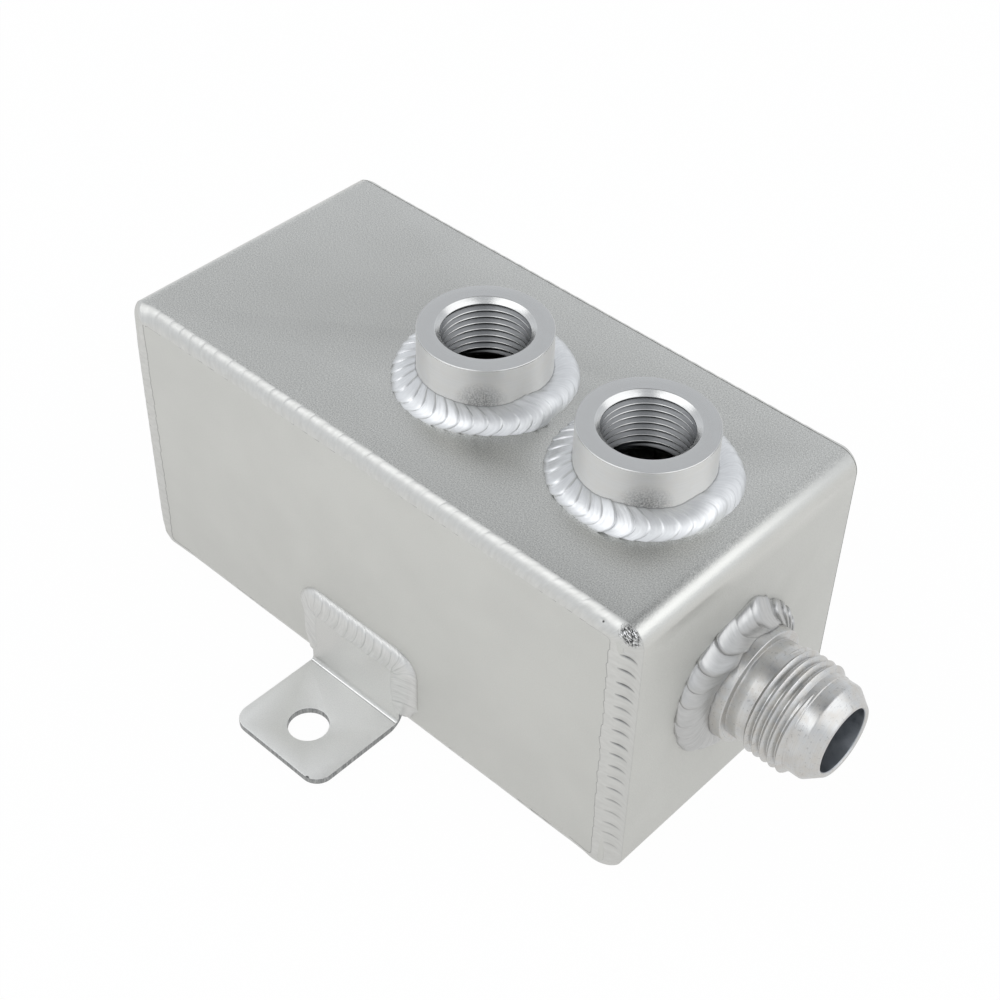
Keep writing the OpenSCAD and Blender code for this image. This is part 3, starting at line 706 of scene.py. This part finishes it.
class Run:
    """The ripples along a weld: where each begins, how high it stands and which way it leans.

    strong and flow give, at a place along the run, the share of the ripples' height and the way
    that their crescents point. A tie is (place, rise, reach): there one bead ends over another,
    and it stands higher by rise, which fades over reach before the place, or after it if reach
    is negative."""

    def __init__(self, length, pitch, height, lead, seed, closed=False, strong=None, flow=None,
                 ties=(), apex=0.6, ends=(1.0, 0.35), toe_wave=0.0, jitter=0.14, band=(0.0, 1.0)):
        draw = random.Random(seed)
        self.length = length
        self.pitch = pitch
        self.height = height
        self.lead = lead
        self.closed = closed
        self.strong = strong or (lambda along: 1.0)
        self.flow = flow or (lambda along: 1.0)
        self.ties = ties
        self.apex = apex
        self.ends = ends
        self.toe_wave = toe_wave
        self.band = band
        self.free_toe = True
        # Share of the painted shade line under each ripple's crescent edge.
        self.crescent_shade_share = 1.0
        count = max(2, round(length / pitch))
        widths = [1 + jitter * draw.uniform(-1, 1) for _ in range(count)]
        scale = length / sum(widths)
        self.marks = [-length / 2]
        for width in widths:
            self.marks.append(self.marks[-1] + width * scale)
        for place, _, _ in ties:
            nearest = min(range(1, count), key=lambda i: abs(self.marks[i] - place))
            self.marks[nearest] = place
        self.marks.sort()
        self.heights = [1 + 0.35 * draw.uniform(-1, 1) for _ in range(count)]
        self.waves = [(draw.randint(3, 7), draw.uniform(0, 2 * math.pi)) for _ in range(3)]

    def taper(self, along):
        """1 along the run, and less over the last ripple at an open end."""
        return 1.0 if self.closed else ease((self.length / 2 - abs(along)) / self.pitch)

    def lean(self, t):
        """How far the ripple's curve has come at a place t across the bead."""
        if t < self.apex:
            return 1 - self.ends[0] * ((self.apex - t) / self.apex) ** 2
        return 1 - self.ends[1] * ((t - self.apex) / (1 - self.apex)) ** 2

    def shift(self, along, t):
        """How far a point of the section is carried along the run by the ripple's curve."""
        return self.lead * self.flow(along) * self.taper(along) * self.lean(t)

    def swell(self, row):
        """Place of a row of points along the run, its lump height, its tie height and how near
        it is to a ripple's crescent edge."""
        per = len(LUMP_SHARES)
        index = min(row // per, len(self.marks) - 2)
        step = row - index * per
        backward = self.flow(self.marks[index]) < 0
        share = 1.0 if step == per else LUMP_SHARES[step]
        if backward and 0 < share < 1:
            share = 1 - LUMP_SHARES[per - step]
        along = mix(self.marks[index], self.marks[index + 1], share)
        rise = lump(1 - share if backward else share)
        gap = 0.0 if step in (0, per) else share if backward else 1 - share
        # Nearness to the crescent edge, which sets the thin line of painted shade under it.
        crescent = max(0.0, 1 - gap / CRESCENT_WIDTH)
        tie = 0.0
        for place, height, reach in self.ties:
            gap = place - along if reach > 0 else along - place
            if self.closed:
                gap %= self.length
            if 0 <= gap < abs(reach):
                tie += height * (1 - gap / abs(reach)) ** 1.3
        strength = self.heights[index] * self.strong(along) * self.taper(along)
        return along, rise * strength, tie, crescent * strength

    def wave(self, along):
        """A slow wander of the bead's toes."""
        return sum(math.sin(2 * math.pi * k * along / self.length + p) for k, p in self.waves) / 3


def face_line(start, end, full, crown=0.0):
    """Points of a bead's face from start to end, between a straight line and a quarter ellipse."""
    points = []
    for column in range(FACE_COLUMNS + 1):
        t = column / FACE_COLUMNS
        out = mix(start[0], end[0], mix(t, math.sin(math.pi / 2 * t), full))
        up = mix(end[1], start[1], mix(1 - t, math.cos(math.pi / 2 * t), full))
        points.append((out, up + crown * math.sin(math.pi * t)))
    return points


def pushed_out(points, index, amount):
    """A face point moved square to the face by the given amount."""
    before = points[max(0, index - 1)]
    after = points[min(len(points) - 1, index + 1)]
    run, climb = after[0] - before[0], after[1] - before[1]
    size = math.hypot(run, climb) or 1.0
    return points[index][0] - climb / size * amount, points[index][1] + run / size * amount


def bead(name, run, section, place, materials, stands_for, pits=()):
    """A rippled weld bead. section(along) gives the points of its face and of its underside, and
    place(along, out, up) puts a point of the section on the object. A pit is (centre, radius,
    depth)."""
    rows = len(LUMP_SHARES) * (len(run.marks) - 1)
    columns = FACE_COLUMNS + len(section(0.0)[1]) + 1
    swells = [run.swell(row) for row in range(rows + 1)]
    sections = [section(swell[0]) for swell in swells]
    bm = bmesh.new()
    bmesh.ops.create_grid(bm, x_segments=rows, y_segments=columns, size=0.5)
    uv = bm.loops.layers.uv.new("UVMap")
    crescent = bm.verts.layers.float.new("crescent")
    spots = {}
    for vert in bm.verts:
        row = round((vert.co.x + 0.5) * rows)
        column = round((vert.co.y + 0.5) * columns) % columns
        along, lump_now, tie_now, crescent_shade_now = swells[row]
        face, under = sections[row]
        t = 0.0
        if column <= FACE_COLUMNS:
            t = column / FACE_COLUMNS
            bulge = math.sin(math.pi * t)
            low, high = run.band
            inside = math.sin(math.pi * min(1.0, max(0.0, (t - low) / (high - low))))
            shown = max(0.0, inside) ** 0.6
            # The crescent attribute carries the painted shade line under each ripple's edge.
            vert[crescent] = crescent_shade_now * shown * run.crescent_shade_share
            out, up = pushed_out(face, column,
                                 run.height * lump_now * shown + tie_now * bulge ** 0.35)
            toe = run.toe_wave * (lump_now + 0.8 * run.wave(along) * run.taper(along)) + tie_now
            out += toe * t ** 3 if run.free_toe else 0.0
            if face[0][0] < 0:
                out -= toe * (1 - t) ** 3
            else:
                up += 0.6 * toe * (1 - t) ** 3
        else:
            out, up = under[column - FACE_COLUMNS - 1]
        along_now = along + run.shift(along, t)
        spot = place(along_now, out, up)
        for centre, radius, depth in pits:
            near = 0.7 * depth * ease(1 - (spot - centre).length / radius)
            if near > 0:
                spot = place(along_now, out - near, up - near)
        vert.co = spot
        spots[vert] = (along, t)
    for face in bm.faces:
        for loop in face.loops:
            loop[uv].uv = spots[loop.vert]
    bmesh.ops.remove_doubles(bm, verts=bm.verts, dist=0.002 * MM)
    close_ends(bm)
    bmesh.ops.recalc_face_normals(bm, faces=bm.faces)
    return publish(bm, name, materials, stands_for, 50.0)


SIDE_LAP = 1.0 * MM
END_LAP = 3.6 * MM
TOE_CORNER = 1.0 * MM
LAP_COVER = 0.1 * MM
CORNER_FULL = 0.57
END_FLAT = 0.38
MITRE_FLAT = 0.2
END_STRONG = ((-36, 1.0), (10, 1.0), (26, 0.55), (36, 0.12))
PIT_AT = Vector((71.2, -39.0, 78.25)) * MM


def seam_bead(side, run_name, materials, seed):
    """One run of the weld that closes a side plate, from the middle of a corner to the next."""
    name = "seam_weld_" + side + "_" + run_name
    upright = run_name in ("front", "rear")
    length, height = (TANK_HEIGHT, TANK_LENGTH) if upright else (TANK_LENGTH, TANK_HEIGHT)
    lap, end_lap = (END_LAP, SIDE_LAP) if upright else (SIDE_LAP, END_LAP)
    turn = {"top": 0, "front": 90, "bottom": 180, "rear": 270}[run_name]
    straight = length - 2 * BEND
    whole = straight + 2 * BEND * math.pi / 4
    edge = height / 2
    depth_sign = SIDE_SIGN[side]
    spin = Matrix.Rotation(math.radians(turn), 3, "Y")
    middle = Vector((WRAP_MID.x, 0, WRAP_MID.z))
    toe_x = length / 2 - SHEET - end_lap - TOE_CORNER
    toe_z = edge - SHEET - lap - TOE_CORNER

    def place(along, out, up):
        along = min(whole / 2, max(-whole / 2, along))
        reach = abs(along)
        way = 1 if along >= 0 else -1
        if reach <= straight / 2:
            outer = Vector((way * reach, edge))
            toe = Vector((way * toe_x * reach / (straight / 2), toe_z + TOE_CORNER))
        else:
            angle = (reach - straight / 2) / BEND
            ray = Vector((way * math.sin(angle), math.cos(angle)))
            outer = Vector((way * straight / 2, edge - BEND)) + ray * BEND
            toe = Vector((way * toe_x, toe_z)) + ray * TOE_CORNER
        spot = toe + (outer - toe) * (out + lap) / (SHEET + lap)
        turned = spin @ Vector((spot.x, 0, spot.y))
        return middle + Vector((turned.x, depth_sign * (TANK_WIDTH / 2 - SHEET + up), turned.z))

    def section(along):
        corner = ease((abs(along) - straight / 2 + 8 * MM) / (10 * MM))
        flat = mix(END_FLAT if upright else 0.0, MITRE_FLAT, corner)
        cover = LAP_COVER * max(0.6, min(1.0, 6 * flat))
        face = []
        for column in range(FACE_COLUMNS + 1):
            t = column / FACE_COLUMNS
            v = max(0.0, (t - flat) / (1 - flat))
            share = min(t, flat) + (1 - flat) * mix(v, math.sin(math.pi / 2 * v), CORNER_FULL)
            lifted = SHEET + cover * math.sin(math.pi / 2 * min(1.0, 12 * t))
            face.append((share * (SHEET + lap) - lap,
                         lifted * mix(1 - v, math.cos(math.pi / 2 * v), CORNER_FULL)))
        return face, [(0.0, 0.0), (0.0, SHEET - PLATE_EASE), (-lap, SHEET - PLATE_EASE)]

    def strong(along):
        fade = ease((straight / 2 - abs(along)) / (2 * MM))
        return fade * (along_table(END_STRONG, along / MM) if upright else 1.0)

    ties = [(3 * MM - whole / 2, 0.4 * MM, -3 * MM)] if name == "seam_weld_near_top" else []
    height = {"front": 0.34, "top": 0.1}.get(run_name, 0.08) * MM
    band = (0.37, 0.86) if upright else (0.2, 1.05 if run_name == "top" else 1.0)
    run = Run(whole, 3.9 * MM if upright else 4.5 * MM, height, 2.4 * MM if upright else 1.3 * MM,
              seed, strong=strong, flow=lambda along: -1.0, ties=ties,
              apex=0.5 if upright else 0.4, ends=(0.3, 2.0) if upright else (0.5, 0.9),
              toe_wave=0.35 * MM, jitter=0.1 if upright else 0.22, band=band)
    run.crescent_shade_share = 1.0 if upright else 0.0
    run.taper = lambda along: ease((straight / 2 - abs(along)) / run.pitch)
    run.free_toe = False
    pits = [(PIT_AT, 0.6 * MM, 0.4 * MM)] if name == "seam_weld_near_top" else []
    return bead(name + "_bead", run, section, place, materials, [name], pits)


RISE_SHARES = ((-180, 0.9), (-120, 0.78), (-95, 0.84), (-75, 0.95), (-30, 0.93), (-8, 1.12),
               (6, 0.95), (30, 0.82), (110, 0.85), (180, 0.9))
REACH_SHARES = ((-180, 1.0), (-60, 0.99), (-22, 1.08), (0, 0.96), (35, 1.06), (60, 1.0), (180, 1.0))
FLOW_SHARES = ((-180, 0.4), (-135, 0.45), (-100, 0.9), (60, 1.0), (120, 0.6), (180, 0.4))
REAR_STRONG = ((-180, 0.75), (-148, 0.8), (-118, 0.7), (-98, 0.45), (-70, 0.32), (-42, 0.5),
               (-20, 0.45), (0, 0.22), (60, 0.3), (120, 0.6), (180, 0.75))
FRONT_STRONG = ((-180, 0.75), (-150, 0.8), (-125, 0.7), (-104, 0.45), (-80, 0.3), (-50, 0.55),
                (-20, 0.35), (0, 0.2), (60, 0.3), (120, 0.6), (180, 0.75))


def port_bead(node, materials, seed, strong, ties):
    """Weld round a port, with high lumps on its left and fine ripples in front."""
    port = size_of(node.replace("_weld", ""))[3]
    leg, rise = 5.9 * MM, 4.0 * MM
    length = 2 * math.pi * (PORT_R + leg / 2)
    degree = length / 360

    def place(along, out, up):
        angle = 2 * math.pi * along / length
        reach = PORT_R + out
        return Vector((port.x + reach * math.cos(angle), port.y + reach * math.sin(angle),
                       TANK_HEIGHT + up))

    def section(along):
        turn = along / degree
        face = face_line((0.0, rise * along_table(RISE_SHARES, turn)),
                         (leg * along_table(REACH_SHARES, turn), 0.0), 0.85)
        return face, [(0.0, 0.0)]

    run = Run(length, 3.0 * MM, 0.36 * MM, 3.6 * MM, seed, closed=True,
              strong=lambda along: along_table(strong, along / degree),
              flow=lambda along: along_table(FLOW_SHARES, along / degree),
              ties=[(turn * degree, height, reach) for turn, height, reach in ties],
              apex=0.56, ends=(1.0, 0.8), toe_wave=0.5 * MM)
    return bead(node + "_bead", run, section, place, materials, [node])


OUTLET_RISE_SHARES = ((-180, 0.8), (-40, 0.9), (-15, 1.1), (0, 0.98), (30, 1.02), (48, 0.9),
                      (60, 0.84), (120, 0.82), (180, 0.8))
OUTLET_REACH_SHARES = ((-180, 0.5), (-60, 0.5), (-40, 0.56), (-30, 0.72), (-15, 1.0), (0, 0.92),
                       (15, 1.02), (35, 1.14), (60, 1.1), (75, 1.04), (94, 0.9), (110, 0.84),
                       (123, 0.72), (147, 0.55), (180, 0.5))
OUTLET_STRONG = ((-180, 0.4), (-45, 0.5), (-10, 0.25), (12, 0.25), (24, 0.8), (60, 0.9), (78, 0.7),
                 (92, 0.25), (150, 0.2), (180, 0.4))


def outlet_bead(materials, seed):
    """Coarse weld round the outlet's collar: a few big lumps that lie one over the other."""
    collar_r = OUTLET_SIZE.y / 2
    leg, rise = 8.0 * MM, 4.0 * MM
    length = 2 * math.pi * (collar_r + leg / 2)
    degree = length / 360
    ties = [(18, 0.55, 5.5), (34, 0.65, 5.0), (47, 0.3, 4.0), (-30, 0.7, -13)]

    def place(along, out, up):
        angle = 2 * math.pi * along / length
        reach = collar_r + out
        return Vector((WRAP_HIGH.x + up, OUTLET_MID.y - reach * math.sin(angle),
                       OUTLET_MID.z + reach * math.cos(angle)))

    def section(along):
        turn = along / degree
        face = face_line((0.0, rise * along_table(OUTLET_RISE_SHARES, turn)),
                         (leg * along_table(OUTLET_REACH_SHARES, turn), 0.0), 0.8)
        return face, [(0.0, 0.0)]

    run = Run(length, 4.4 * MM, 1.1 * MM, 5.0 * MM, seed, closed=True,
              strong=lambda along: along_table(OUTLET_STRONG, along / degree),
              ties=[(turn * degree, height * MM, reach * MM) for turn, height, reach in ties],
              apex=0.55, ends=(1.0, 0.3), toe_wave=0.3 * MM)
    return bead("outlet_weld_bead", run, section, place, materials, ["outlet_weld"])


BRACKET_STRONG = ((-40, 0.3), (-22, 0.4), (-10, 0.75), (12, 1.0), (18, 0.6), (30, 0.7), (40, 0.4))
BRACKET_PIT_AT = Vector((-16.6, -42.6, 22.4)) * MM


def bracket_bead(side, materials, seed):
    """Weld up one edge of a bracket's leg, over its top and down the other edge."""
    half = BRACKET_SIZE.x / 2
    corner = 2.0 * MM
    leg = 5.0 * MM
    lap = 2.2 * MM
    start_z = BRACKET_FOLD + BRACKET_SHEET + 0.2 * MM
    half_top = half - corner
    mid_r = corner + leg / 2
    corner_l = mid_r * math.pi / 2
    side_l = BRACKET_SIZE.z - corner - start_z
    length = 2 * (half_top + corner_l + side_l)
    depth_sign = SIDE_SIGN[side]

    def place(along, out, up):
        reach = abs(along)
        way = 1 if along >= 0 else -1
        angle = min(math.pi / 2, max(0.0, (reach - half_top) / mid_r))
        flat = min(reach, half_top)
        drop = max(0.0, reach - half_top - corner_l)
        r = corner + out
        return Vector((BRACKET_MID.x + way * (flat + r * math.sin(angle)),
                       depth_sign * (TANK_WIDTH / 2 + up),
                       BRACKET_HIGH.z - corner - drop + r * math.cos(angle)))

    def section(along):
        left = ease(1 + (along + half_top + corner_l) / leg)
        size = mix(0.62, 1.0, run.taper(along)) * mix(0.75, 1.0, left)
        face = face_line((-lap * size, BRACKET_SHEET), (leg * size, 0.0), 0.9, 0.55 * MM * size)
        return face, [(0.0, 0.0), (0.0, BRACKET_SHEET)]

    def flow(along):
        return 1 - 2 * ease((along - half_top + 4 * MM) / (corner_l + 7 * MM))

    run = Run(length, 2.9 * MM, 0.17 * MM, 2.6 * MM, seed,
              strong=lambda along: along_table(BRACKET_STRONG, along / MM), flow=flow, apex=0.5,
              ends=(0.9, 0.8), toe_wave=0.5 * MM, band=(0.0, 0.9))
    run.free_toe = False
    pits = [(BRACKET_PIT_AT, 0.6 * MM, 0.5 * MM)] if side == "near" else []
    name = "bracket_weld_" + side
    return bead(name + "_bead", run, section, place, materials, [name], pits)


def closing_bead(materials, seed):
    """Butt weld across the rear end, where the folded sheet closes."""
    cap = 4.0 * MM
    crown = 0.85 * MM

    def place(along, out, up):
        return Vector((WRAP_LOW.x - up, along, WRAP_MID.z + out))

    def section(along):
        size = mix(0.85, 1.0, run.taper(along))
        face = [(-cap * math.cos(math.pi * i / FACE_COLUMNS),
                 crown * size * math.sin(math.pi * i / FACE_COLUMNS)) for i in range(FACE_COLUMNS + 1)]
        return face, [(cap / 3, -0.3 * MM), (-cap / 3, -0.3 * MM)]

    run = Run(WRAP_SIZE.y, 4.8 * MM, 0.15 * MM, 1.5 * MM, seed, apex=0.5, ends=(1.0, 1.0))
    return bead("closing_weld_bead", run, section, place, materials, ["closing_weld"])


# Stage and lights

FLOOR_SIZE = 6.0
FLOOR_GAP = 0.05 * MM
FLOOR_GLOW = 0.97
# Painted shadow on the floor, seen in reflections: its level next to the tank and the reach over which
# it fades.
FLOOR_SHADOW = 0.86
FLOOR_SHADOW_REACH = 60 * MM


def add_stage():
    """Pale floor, white to the camera. In reflections it carries painted shade: darker close to the
    tank, and a little darker past its front end.
    """
    bm = bmesh.new()
    bmesh.ops.create_grid(bm, x_segments=4, y_segments=4, size=FLOOR_SIZE / 2)
    bmesh.ops.translate(bm, vec=(0, 0, WRAP_LOW.z - FLOOR_GAP), verts=bm.verts)
    material = bpy.data.materials.new("floor_paper")
    n = bare_nodes(material)
    path = n.add("ShaderNodeLightPath").outputs
    seen = n.math("MAXIMUM", path["Is Camera Ray"],
                  n.math("MAXIMUM", path["Is Glossy Ray"], path["Is Transmission Ray"]))
    place = n.place()
    parts = n.split(place)
    beside = n.math("SUBTRACT", n.math("ABSOLUTE", parts[1]), TANK_WIDTH / 2)
    beyond = n.math("SUBTRACT", parts[0], WRAP_HIGH.x)
    # Painted shadow near the tank and painted shade past its front end, for glossy and transmission
    # rays only.
    away = n.ramp(n.math("MAXIMUM", beside, beyond), 0.0, FLOOR_SHADOW_REACH, FLOOR_SHADOW, 1.0)
    mirrored_shadowed = n.math("MULTIPLY", away, n.ramp(beyond, 0.0, 30 * MM, 1.0, 0.93, smooth=True))
    level = n.math("MAXIMUM", path["Is Camera Ray"], mirrored_shadowed)
    paper = n.add("ShaderNodeBsdfDiffuse", {"Color": (0.95, 0.95, 0.95, 1)})
    white = n.add("ShaderNodeEmission", {"Color": (1, 1, 1, 1), "Strength": level})
    both = n.add("ShaderNodeMixShader", {0: n.math("MULTIPLY", seen, FLOOR_GLOW),
                                         1: paper.outputs[0], 2: white.outputs[0]})
    n.add("ShaderNodeOutputMaterial", {"Surface": both.outputs[0]})
    mesh_object(bm, "floor", [material])


def add_softbox(name, turn, rise, distance, width, height, radiance):
    """A soft box seen from the object at a turn from +X and a rise, in degrees."""
    data = bpy.data.lights.new(name, "AREA")
    data.shape = "RECTANGLE"
    data.size = width
    data.size_y = height
    data.energy = radiance * math.pi * width * height
    light = put(name, data)
    turn, rise = math.radians(turn), math.radians(rise)
    way = Vector((math.cos(turn) * math.cos(rise), math.sin(turn) * math.cos(rise), math.sin(rise)))
    place = Vector((0, 0, TANK_HEIGHT)) + way * distance
    aim = (-way).to_track_quat("-Z", "Y").to_matrix().to_4x4()
    light.matrix_world = Matrix.Translation(place) @ aim


def add_world():
    """A studio that is white to the camera, with paler walls and a dark ceiling in reflections."""
    world = bpy.data.worlds.new("studio")
    n = bare_nodes(world)
    path = n.add("ShaderNodeLightPath").outputs
    way = n.place("Generated")
    height = n.split(way)[2]
    wall = n.ramp(height, 0.0, 0.6, 0.98, 0.735, smooth=True)
    ceiling = n.ramp(height, 0.86, 0.98, 1.0, 0.35, smooth=True)
    level = n.math("MULTIPLY", wall, ceiling)
    room = n.add("ShaderNodeBackground", {"Color": (0.975, 1.0, 1.04, 1), "Strength": level})
    white = n.add("ShaderNodeBackground", {"Color": (1, 1, 1, 1), "Strength": 1.0})
    both = n.add("ShaderNodeMixShader", {0: path["Is Camera Ray"], 1: room.outputs[0],
                                         2: white.outputs[0]})
    n.add("ShaderNodeOutputWorld", {"Surface": both.outputs[0]})
    bpy.context.scene.world = world


def add_lights():
    add_world()
    add_softbox("left_box", -114.0, 48.0, 1.5, 1.9, 0.85, 1.15)
    add_softbox("right_box", 18.0, 38.0, 1.5, 1.9, 1.0, 0.95)


# The object

# Way from a port's centre to its painted shade patch, on the side towards the camera.
PAINTED_SHADE_TURN = Vector((math.cos(math.radians(-50)), math.sin(math.radians(-50)), 0))
SOOT_AT = Vector((77.7, -38.6, 78.4)) * MM
SOOT_TURN = (0.0, math.radians(38), 0.0)
SOOT_REACH = Vector((3.1, 2.1, 2.0)) * MM
FLANGE_NICK = Vector((10.0 * MM, BRACKET_LOW.y, BRACKET_LOW.z + BRACKET_SHEET))


SHEET_COLOURS = ((0.77, 0.77, 0.737, 1), (0.395, 0.395, 0.378, 1))


def build():
    # level=0.64 paints the upright faces of the sheet and the plates lighter than the top: painted
    # light.
    sheet = blasted_metal("blasted_sheet", *SHEET_COLOURS, SAND, 0.05 * MM, 0.035, 0.3, 0.36,
                          calm=0.13, rough_below=0.28, level=0.64)
    plate = blasted_metal("blasted_plate", *SHEET_COLOURS, SAND, 0.05 * MM, 0.035, 0.58, 0.64,
                          calm=0.13, level=0.64)
    skin = blasted_metal("blasted_bracket", (0.7, 0.7, 0.68, 1), (0.52, 0.52, 0.505, 1), SAND,
                         0.03 * MM, 0.02, 0.32, 0.38, nicks=[(FLANGE_NICK, 0.7 * MM)], calm=0.5)
    # Lighter copy of the bracket's finish for its flange: painted light, since the flange is the same
    # sheet as the leg.
    flat = blasted_metal("blasted_flange_painted_light", (0.92, 0.92, 0.9, 1), (0.76, 0.76, 0.745, 1), SAND,
                         0.03 * MM, 0.02, 0.5, 0.56, nicks=[(FLANGE_NICK, 0.7 * MM)], calm=0.5)
    sheared = sheared_metal("sheared_edge", (0.42, 0.425, 0.42, 1), (0.22, 0.225, 0.225, 1))
    # Near-white copy of the bracket's finish for the press line: painted highlight over a real ridge.
    crease_highlight = blasted_metal("fold_crease_highlight", (0.95, 0.95, 0.94, 1), (0.9, 0.9, 0.89, 1), SAND,
                              0.01 * MM, 0.0, 0.3, 0.34)
    bright = weld_metal("weld_bright", (0.82, 0.83, 0.835, 1), (0.73, 0.738, 0.745, 1), 1900.0,
                        0.05 * MM, 0.4, 0.48, toe=0.35, crescent=0.16)
    dull = weld_metal("weld_dull", (0.68, 0.68, 0.665, 1), (0.6, 0.6, 0.585, 1), WELD_LINES,
                      0.04 * MM, 0.4, 0.48, toe=0.05, crescent=0.3,
                      pits=[(BRACKET_PIT_AT, 0.36 * MM)])
    coarse = weld_metal("weld_coarse", (0.56, 0.56, 0.555, 1), (0.49, 0.492, 0.485, 1), WELD_LINES,
                        0.035 * MM, 0.34, 0.42, toe=0.45, crescent=0.5)
    seam = weld_metal("weld_seam", (0.64, 0.64, 0.62, 1), (0.58, 0.58, 0.56, 1), 1100.0,
                      0.006 * MM, 0.38, 0.44, toe=0.5, crescent=0.75,
                      soot=(SOOT_AT, SOOT_TURN, SOOT_REACH),
                      pits=[(PIT_AT, 0.36 * MM)])
    sheet_pieces(sheet, plate)
    publish(merged_copy("baffle_tacks"), "baffle_tacks_bead", [dull], ["baffle_tacks"])
    for side in ("near", "far"):
        bracket_piece(side, skin, sheared, crease_highlight, flat)
    # Near-black metal for the thread down each port's bore: painted shade in its gaps.
    shaded_gaps = blasted_metal("thread_gaps_shade", (0.25, 0.255, 0.26, 1), (0.17, 0.175, 0.18, 1), TURNED_SAND,
                         0.01 * MM, 0.0, 0.36, 0.4)
    for node in ("rear_port", "front_port"):
        middle = size_of(node)[3]
        metal = turned_metal(node + "_metal", (middle.x, middle.y, 0), (0, 0, 0),
                             (0.64, 0.642, 0.635, 1), (0.58, 0.582, 0.575, 1), (0.6, 0.6, 0.59, 1),
                             TURNED_SAND, 0.012 * MM, 0.22, 0.27)
        # Centre of the skirt's painted shade patch, 4 mm up the boss's wall.
        painted_shade_at = middle + PAINTED_SHADE_TURN * PORT_R
        painted_shade_at.z = TANK_HEIGHT + 4.0 * MM
        skirt = turned_metal(node + "_skirt", (middle.x, middle.y, 0), (0, 0, 0),
                             (0.82, 0.818, 0.8, 1), (0.76, 0.758, 0.742, 1), (0.79, 0.78, 0.75, 1),
                             TURNED_SAND, 0.004 * MM, 0.62, 0.68, streak=0.95, painted_shade=painted_shade_at)
        port_piece(node, [metal, skirt, shaded_gaps])
    # The outlet's bore wall gets painted shade through bore.
    fitting = turned_metal("outlet_metal", (OUTLET_MID.x, OUTLET_MID.y, OUTLET_MID.z),
                           (0, math.pi / 2, 0), (0.64, 0.642, 0.635, 1), (0.54, 0.543, 0.54, 1),
                           (0.6, 0.575, 0.535, 1), 4200.0, 0.03 * MM, 0.3, 0.42, specks=0.25,
                           bore=8.25 * MM)
    outlet_piece(fitting)
    seed = 11
    for side in ("near", "far"):
        for run in ("top", "front", "bottom", "rear"):
            seed += 1
            seam_bead(side, run, [seam], seed)
        bracket_bead(side, [dull], seed + 40)
    port_bead("rear_port_weld", [bright], 31, REAR_STRONG, [(-12, 0.5 * MM, 9 * MM)])
    port_bead("front_port_weld", [bright], 32, FRONT_STRONG,
              [(-78, 0.5 * MM, 6 * MM), (-66, 0.28 * MM, 3.4 * MM)])
    outlet_bead([coarse], 77)
    closing_bead([seam], 91)


add_camera()
add_stage()
add_lights()
build()
bpy.context.scene.view_settings.view_transform = "Standard"
